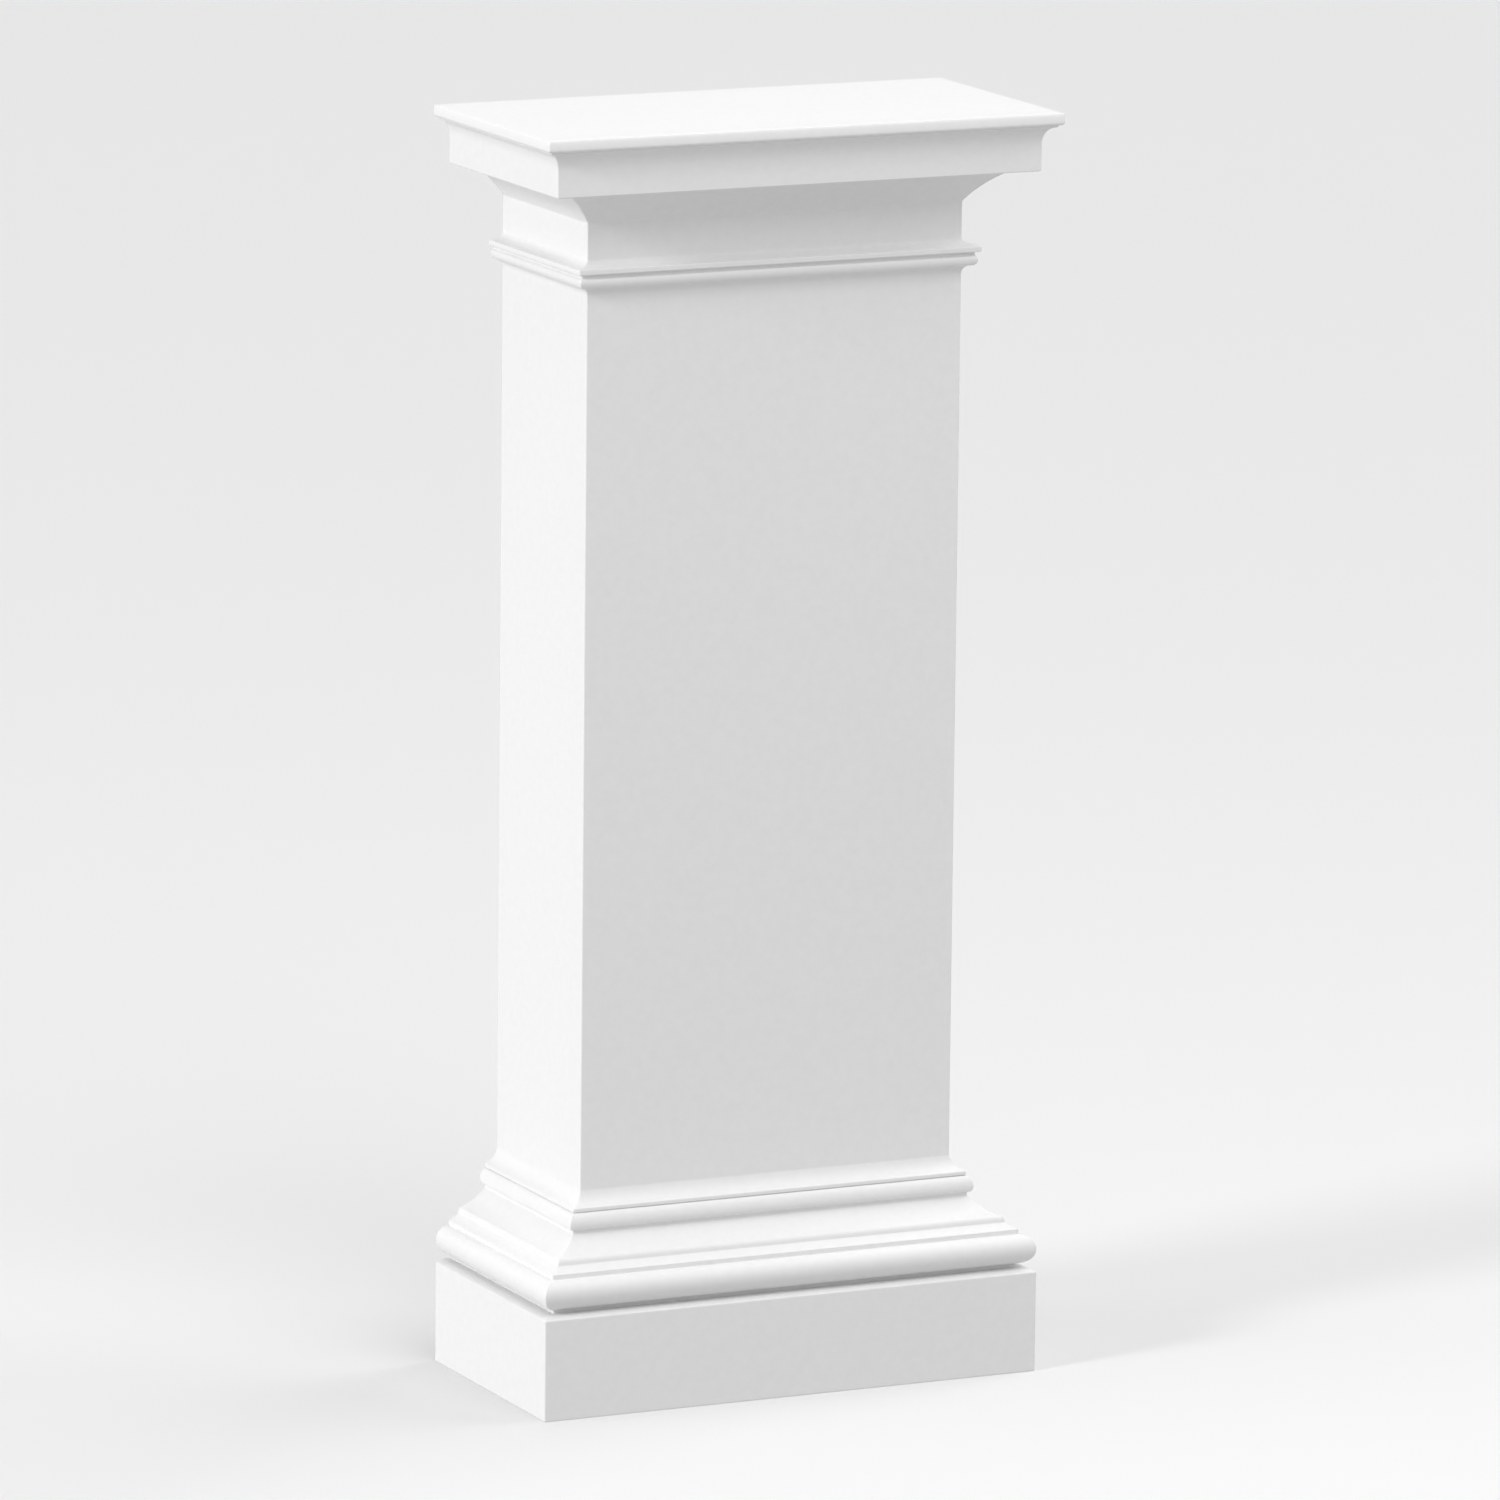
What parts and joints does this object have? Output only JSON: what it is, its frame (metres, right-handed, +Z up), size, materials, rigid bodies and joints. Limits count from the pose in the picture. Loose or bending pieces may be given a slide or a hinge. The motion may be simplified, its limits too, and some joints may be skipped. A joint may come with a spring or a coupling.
{
  "type": "half-pillar pedestal",
  "caption": "White half-pillar pedestal: a plain rectangular shaft with a moulded base, neck band and cap that return on both sides, cut flat down its back to stand against a wall.",
  "frame": {"origin": "on the floor, under the middle of the overall box", "axes": "+Z up along the shaft, +Y towards the wall, out of the flat back, and +X to the right of someone facing the front"},
  "size_m": [0.393, 0.1966, 0.9],
  "materials": {
    "painted_foam": "matt white, smooth primed moulded foam with a very fine grain"
  },
  "bodies": {
    "root": {"half_pillar_pedestal": "painted_foam"}
  },
  "joints": []
}
